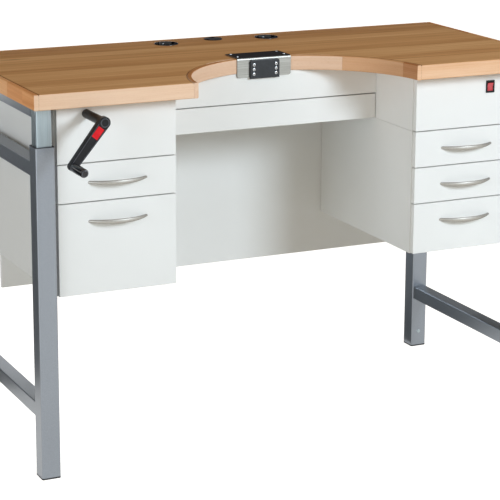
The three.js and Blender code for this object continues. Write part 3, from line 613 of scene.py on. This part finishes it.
def turned(profile, place, out, steps=SPIN_STEPS):
    """A closed form from (radius, height) points, turned about the line through a place."""
    made = bmesh.new()
    dots = [made.verts.new((r, 0, h)) for r, h in profile]
    lines = [made.edges.new(pair) for pair in zip(dots, dots[1:])]
    bmesh.ops.spin(
        made, geom=dots + lines, cent=(0, 0, 0), axis=UP, angle=math.tau, steps=steps, use_merge=True,
    )
    bmesh.ops.remove_doubles(made, verts=made.verts, dist=MERGE)
    bmesh.ops.recalc_face_normals(made, faces=made.faces)
    bmesh.ops.transform(made, matrix=aimed(place, out), verts=made.verts)
    return made


def ringed(radius, width, height):
    """Profile of a low flat ring with chamfered edges."""
    inner = radius - width
    return [
        (inner, 0), (radius, 0), (radius, height - CHAMFER), (radius - CHAMFER, height),
        (inner + CHAMFER, height), (inner, height - CHAMFER), (inner, 0),
    ]


def domed(radius, height):
    """Profile of a low dome."""
    shoulder = (radius * DOME_SHOULDER_R, height * DOME_SHOULDER_H)
    return [(0, 0), (radius, 0), (radius, height * DOME_WALL), shoulder, (0, height)]


def socket_screw(place, out, radius, rise):
    """A low screw head, its underside on the place. The face over its hexagon socket is still there."""
    made = bmesh.new()
    bmesh.ops.create_cone(
        made, cap_ends=True, segments=SMALL_STEPS, radius1=radius, radius2=radius, depth=rise,
    )
    top = max(made.faces, key=lambda f: f.calc_center_median().z)
    rounded(made, list(top.edges), rise / 2)
    top = max(made.faces, key=lambda f: f.calc_center_median().z)
    flat = radius - rise / 2
    socket = radius * SOCKET_SHARE
    bmesh.ops.inset_region(made, faces=[top], thickness=flat - socket, use_even_offset=True)
    sector = math.tau / SOCKET_SIDES
    for dot in top.verts:
        angle = math.atan2(dot.co.y, dot.co.x) % sector - sector / 2
        dot.co.xy = dot.co.xy.normalized() * socket * math.cos(sector / 2) / math.cos(angle)
    sunk = bmesh.ops.extrude_face_region(made, geom=[top])["geom"]
    floor = [g for g in sunk if isinstance(g, bmesh.types.BMVert)]
    bmesh.ops.translate(made, verts=floor, vec=(0, 0, -rise * SOCKET_DEPTH))
    bmesh.ops.recalc_face_normals(made, faces=made.faces)
    lift = Matrix.Translation((0, 0, rise / 2))
    bmesh.ops.transform(made, matrix=aimed(place, out) @ lift, verts=made.verts)
    return made


def eased_block(size, edge, matrix):
    """A small block with rounded edges, drawn about its middle."""
    made = bmesh.new()
    bmesh.ops.create_cube(made, size=1)
    bmesh.ops.scale(made, verts=made.verts, vec=size)
    rounded(made, made.edges[:], edge)
    bmesh.ops.transform(made, matrix=matrix, verts=made.verts)
    return made


def corners(node):
    low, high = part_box(node)
    return Vector(low), Vector(high)


# Every solid gets its finish; handles and inserts are turned finer below.
def dress_solids():
    finer = ("handle_nickel", "gloss_black")
    return {node: eased(node) for node, slot in SLOT_OF.items() if slot not in finer}


# Beech: planed edges along the front and back, paler partly as painted light, and bent strips round the
# cut-out whose upper faces are darker partly as painted shade.
def dress_worktop(dressed):
    refinish(dressed["worktop"], LIT_LEFT_EDGE_BEECH, FRONT, BACK)
    refinish(dressed["worktop"], LIT_RIGHT_EDGE_BEECH, FRONT, right_of=0)
    refinish(dressed["lipping_cutout_left"], LEFT_RING_BEECH)
    refinish(dressed["lipping_cutout_right"], RIGHT_RING_BEECH)
    refinish(dressed["lipping_cutout_right"], LIT_RIGHT_EDGE_BEECH, FRONT, right_of=CUT_MOUTH_X)
    for side in ("left", "right"):
        refinish(dressed[f"lipping_cutout_{side}"], SHADED_TOP_RING_BEECH, UP)
    refinish(dressed["lipping_left"], LIT_LEFT_EDGE_BEECH, FRONT, BACK)
    refinish(dressed["lipping_right"], LIT_RIGHT_EDGE_BEECH, FRONT, BACK)


# Black glossy insert with a rounded rim and a dished middle.
def round_insert(node):
    low, high = corners(node)
    middle = (low + high) / 2
    r = (high.x - low.x) / 2
    top = high.z
    seat = corners("worktop")[1].z + INSERT_SEAT
    rise = top - seat
    sleeve = r - INSERT_SLEEVE_IN
    mouth = sleeve - INSERT_WALL
    well = mouth - INSERT_WALL
    turns = [math.pi / 2 * step / RIM_STEPS for step in range(RIM_STEPS + 1)]
    rim = [(r - rise * (1 - math.cos(a)), seat + rise * math.sin(a)) for a in turns]
    profile = [
        (0, low.z), (sleeve, low.z), (sleeve, seat), *rim,
        (mouth, top), (mouth - INSERT_LEDGE, top - INSERT_LEDGE),
        (well, top - INSERT_DISH), (0, top - INSERT_DISH),
    ]
    stand_in(turned(profile, (middle.x, middle.y, 0), UP), node)


# Bow handle: an oval bar on an arc, lower at its ends, trimmed by the drawer front's plane.
def bow_handle(node):
    low, high = corners(node)
    middle = (low + high) / 2
    half = (high.x - low.x - HANDLE_T) / 2
    bow = high.y - low.y - HANDLE_T / 2
    r = (half ** 2 + bow ** 2) / (2 * bow)
    centre = Vector((0, r - bow, 0))
    swing = math.asin(half / r) + HANDLE_OVERRUN
    made = bmesh.new()
    ring = bmesh.ops.create_circle(made, radius=1, segments=HANDLE_SECTION)["verts"]
    bmesh.ops.scale(made, verts=ring, vec=(HANDLE_T / 2, (high.z - low.z) / 2, 1))
    bmesh.ops.rotate(made, verts=ring, matrix=Matrix.Rotation(math.pi / 2, 3, "X"))
    bmesh.ops.translate(made, verts=ring, vec=(r, 0, 0))
    bmesh.ops.rotate(made, verts=ring, matrix=Matrix.Rotation(-math.pi / 2 - swing, 3, "Z"))
    bmesh.ops.translate(made, verts=ring, vec=centre)
    bmesh.ops.spin(
        made, geom=made.verts[:] + made.edges[:], cent=centre, axis=UP, angle=2 * swing,
        steps=HANDLE_STEPS,
    )
    for dot in made.verts:
        share = abs(math.atan2(dot.co.x - centre.x, centre.y - dot.co.y)) / swing
        dot.co.z *= 1 - (1 - HANDLE_END) * share ** 2
    shift = Matrix.Translation((middle.x, high.y, middle.z))
    bmesh.ops.transform(made, matrix=shift, verts=made.verts)
    cut = bmesh.ops.bisect_plane(
        made, geom=made.verts[:] + made.edges[:] + made.faces[:], plane_co=(0, high.y, 0),
        plane_no=BACK, clear_outer=True,
    )
    rims = [g for g in cut["geom_cut"] if isinstance(g, bmesh.types.BMEdge)]
    bmesh.ops.holes_fill(made, edges=rims, sides=0)
    bmesh.ops.recalc_face_normals(made, faces=made.faces)
    stand_in(made, node)


# Holder: black upper plate with four screws, bright flange, and six screws in the black slide plate.
def dress_holder(dressed):
    refinish(dressed["pin_bracket"], BLACK_STEEL, UP)
    low, high = corners("pin_bracket")
    spots = [
        Vector((x, y, high.z))
        for x in (low.x + BRACKET_SCREW_IN, high.x - BRACKET_SCREW_IN)
        for y in (low.y + BRACKET_SCREW_FRONT_IN, high.y - BRACKET_SCREW_IN)
    ]
    heads = [socket_screw(spot, UP, BRACKET_SCREW_R, BRACKET_SCREW_H) for spot in spots]
    finished(gathered(heads), "bracket_screws", SCREW_STEEL, "top")
    low, high = corners("pin_dovetail_plate")
    middle = (low + high) / 2
    spots = [
        Vector((side * PLATE_SCREW_X, low.y, middle.z + step * PLATE_SCREW_PITCH))
        for side in (-1, 1)
        for step in (-1, 0, 1)
    ]
    heads = [socket_screw(spot, FRONT, PLATE_SCREW_R, PLATE_SCREW_H) for spot in spots]
    finished(gathered(heads), "dovetail_screws", SCREW_STEEL, "top")


# Crank: raised ring on the head, raised edges along the arm and a plain red label.
def dress_crank():
    low, high = corners("crank_grip")
    middle = (low + high) / 2
    grip = Vector((middle.x, high.y + ARM_GAP, middle.z))
    along = Vector((math.cos(ARM_TURN), 0, math.sin(ARM_TURN)))
    head = grip - along * ARM_LENGTH
    lie = Matrix.Translation(head) @ Matrix.Rotation(-ARM_TURN, 4, "Y")
    body = BODY_OF["crank"]
    forms = [turned(ringed(HEAD_RING_R, HEAD_RING_W, RING_H), head, FRONT)]
    lean = math.asin((ARM_HEAD_R - ARM_END_R) / ARM_LENGTH)
    size = (ARM_LENGTH - ARM_HEAD_R, RIDGE_T, RIDGE_W)
    aside = (ARM_HEAD_R + ARM_END_R) / 2 - RIDGE_IN
    for side in (-1, 1):
        at = Matrix.Translation((ARM_LENGTH / 2 + RIDGE_SHIFT, -RIDGE_T / 2, side * aside))
        tilt = Matrix.Rotation(side * lean, 4, "Y")
        forms.append(eased_block(size, RIDGE_EDGE, lie @ at @ tilt))
    # The head's ring and the arm's edges are painted lighter grey as a highlight
    finished(gathered(forms), "crank_trim", HIGHLIT_BLACK, body)
    at = Matrix.Translation(((LABEL_FROM + LABEL_TO) / 2, -LABEL_T / 2, 0))
    label = eased_block((LABEL_TO - LABEL_FROM, LABEL_T, LABEL_W), LABEL_EDGE, lie @ at)
    finished(label, "crank_label", LABEL_RED, body)


# Grip: polished, with a raised ring on its end.
def dress_grip(dressed):
    refinish(dressed["crank_grip"], GRIP_BLACK)
    low, high = corners("crank_grip")
    middle = (low + high) / 2
    ring = ringed(GRIP_RING_R, GRIP_RING_W, RING_H)
    made = turned(ring, Vector((middle.x, low.y, middle.z)), FRONT)
    # The grip's end ring is painted lighter grey as a highlight
    finished(made, "grip_end_ring", HIGHLIT_BLACK, BODY_OF["crank_grip"])


def collar(place, size, opening):
    """A thin ring round an inner tube, as wide as the outer tube and rounded like it."""
    made = bmesh.new()
    bmesh.ops.create_grid(made, x_segments=1, y_segments=1, size=size / 2)
    rim = (size - opening) / 2
    bmesh.ops.inset_region(
        made, faces=made.faces[:], thickness=rim, use_boundary=True, use_even_offset=True,
    )
    hole = min(made.faces, key=lambda f: f.calc_center_median().length)
    bmesh.ops.delete(made, geom=[hole], context="FACES_ONLY")
    bmesh.ops.solidify(made, geom=made.faces[:], thickness=-COLLAR_T)
    bmesh.ops.recalc_face_normals(made, faces=made.faces)
    outside = (opening + rim) / 2
    upright = [
        e for e in made.edges
        if (e.verts[0].co - e.verts[1].co).xy.length < MERGE and abs(e.verts[0].co.x) > outside
    ]
    rounded(made, upright, COLLAR_CORNER)
    bmesh.ops.translate(made, verts=made.verts, vec=place)
    return made


# Legs: a thin collar where the tubes meet, and a plug near the floor on the face towards the middle.
def dress_legs():
    collars = []
    plugs = []
    for end, inward in (("front", BACK), ("rear", FRONT)):
        for side in ("left", "right"):
            low, high = corners(f"outer_leg_{end}_{side}")
            inner_low, inner_high = corners(f"inner_leg_{end}_{side}")
            middle = (low + high) / 2
            opening = inner_high.x - inner_low.x + 2 * COLLAR_GAP
            collars.append(collar(Vector((middle.x, middle.y, high.z)), high.x - low.x, opening))
            face_y = high.y if inward is BACK else low.y
            spot = Vector((middle.x, face_y, low.z + PLUG_UP))
            plugs.append(turned(domed(PLUG_R, PLUG_H), spot, inward, SMALL_STEPS))
    finished(gathered(collars), "leg_collars", FINISH["foot_plastic"], "base")
    finished(gathered(plugs), "leg_plugs", FINISH["tube_aluminium"], "base")


# Back: white cover caps over the screws that hold the back panel.
def dress_back():
    low, high = corners("back_panel")
    columns = (low.x + CAP_IN, low.x / 2 - CAP_IN, high.x / 2 + CAP_IN, high.x - CAP_IN)
    rows = (low.z + CAP_LOW, (low.z + high.z) / 2 + CAP_IN, high.z - CAP_IN)
    caps = [
        turned(domed(CAP_R, CAP_H), Vector((x, high.y, z)), BACK, SMALL_STEPS)
        for x in columns
        for z in rows
    ]
    finished(gathered(caps), "back_panel_caps", CAP_WHITE, "top")


def place_camera():
    data = bpy.data.cameras.new("camera")
    data.lens = CAMERA_LENS
    data.shift_y = CAMERA_SHIFT_Y
    camera = bpy.data.objects.new("camera", data)
    bpy.context.scene.collection.objects.link(camera)
    turn = (
        Matrix.Rotation(CAMERA_YAW, 4, "Z")
        @ Matrix.Rotation(math.pi / 2 - CAMERA_PITCH, 4, "X")
        @ Matrix.Rotation(CAMERA_ROLL, 4, "Z")
    )
    camera.matrix_world = Matrix.Translation(CAMERA_PLACE) @ turn
    bpy.context.scene.camera = camera


def soft_light(name, place, size, power):
    """A round softbox aimed at the middle of the bench."""
    data = bpy.data.lights.new(name, "AREA")
    data.shape = "ELLIPSE"
    data.size, data.size_y = size
    data.energy = power
    data.color = linear(LAMP_SHADE)[:3]
    light = bpy.data.objects.new(name, data)
    bpy.context.scene.collection.objects.link(light)
    aim = (Vector(AIM) - Vector(place)).to_track_quat("-Z", "Y")
    light.matrix_world = Matrix.Translation(place) @ aim.to_matrix().to_4x4()


def seen_directly(tree):
    """1 for what the camera sees, also by reflection or through glass, and 0 for light on the object."""
    path = add(tree, "ShaderNodeLightPath").outputs
    seen = path["Is Camera Ray"]
    for kind in ("Is Glossy Ray", "Is Transmission Ray"):
        seen = add(tree, "ShaderNodeMath", {0: seen, 1: path[kind]}, operation="MAXIMUM").outputs[0]
    return seen


def sheet(name, paint, matrix):
    """A flat square of the studio, which is no part of the bench."""
    made = bmesh.new()
    bmesh.ops.create_grid(made, x_segments=1, y_segments=1, size=1)
    bmesh.ops.transform(made, matrix=matrix, verts=made.verts)
    mesh = bpy.data.meshes.new(name)
    made.to_mesh(mesh)
    made.free()
    mesh.materials.append(paint)
    piece = bpy.data.objects.new(name, mesh)
    bpy.context.scene.collection.objects.link(piece)
    return piece


# Matt pale floor: white to the camera, and keeps the shadow
def lay_floor():
    paint, tree, shader = material("pale_floor", Roughness=FLOOR_ROUGH)
    shader.inputs["Base Color"].default_value = linear(FLOOR_SHADE)
    shader.inputs["Emission Color"].default_value = linear(WHITE)
    inputs = {0: seen_directly(tree), 1: FLOOR_GLOW}
    glow = add(tree, "ShaderNodeMath", inputs, operation="MULTIPLY")
    tree.links.new(glow.outputs[0], shader.inputs["Emission Strength"])
    sheet("floor", paint, Matrix.Scale(FLOOR_HALF, 4))


# Black flags, seen only in reflections: tubes' sides, inserts and the lower half of handles go dark. The
# flag under the bench is painted shade, standing for the shadowed floor there.
def hang_flags():
    paint, _, shader = material("black_flag", Roughness=1.0, Specular_IOR_Level=0.0)
    shader.inputs["Base Color"].default_value = linear(FLAG_SHADE)
    for middle, (width, height), facing in FLAGS:
        size = Matrix.Diagonal((width / 2, height / 2, 1, 1))
        flag = sheet("flag", paint, aimed(Vector(middle), facing) @ size)
        flag.visible_camera = False
        flag.visible_diffuse = False
        flag.visible_shadow = False
        flag.visible_transmission = False


# Surround: white to the camera, and a dim warm grey as light on the bench
def surround():
    world = bpy.data.worlds.new("surround")
    bpy.context.scene.world = world
    world.use_nodes = True
    sky = world.node_tree
    inputs = {0: seen_directly(sky), MIX_A: linear(SURROUND_SHADE), MIX_B: linear(WHITE)}
    shade = add(sky, "ShaderNodeMix", inputs, data_type="RGBA")
    sky.links.new(shade.outputs[MIXED], sky.nodes["Background"].inputs["Color"])


place_camera()
dressed = dress_solids()
dress_worktop(dressed)
for node, slot in SLOT_OF.items():
    if slot == "gloss_black":
        round_insert(node)
    if slot == "handle_nickel":
        bow_handle(node)
dress_holder(dressed)
dress_crank()
dress_grip(dressed)
dress_legs()
dress_back()
soft_light(*KEY)
soft_light(*FILL)
soft_light(*BACK_LIGHT)
lay_floor()
hang_flags()
surround()
bpy.context.scene.view_settings.view_transform = "Standard"
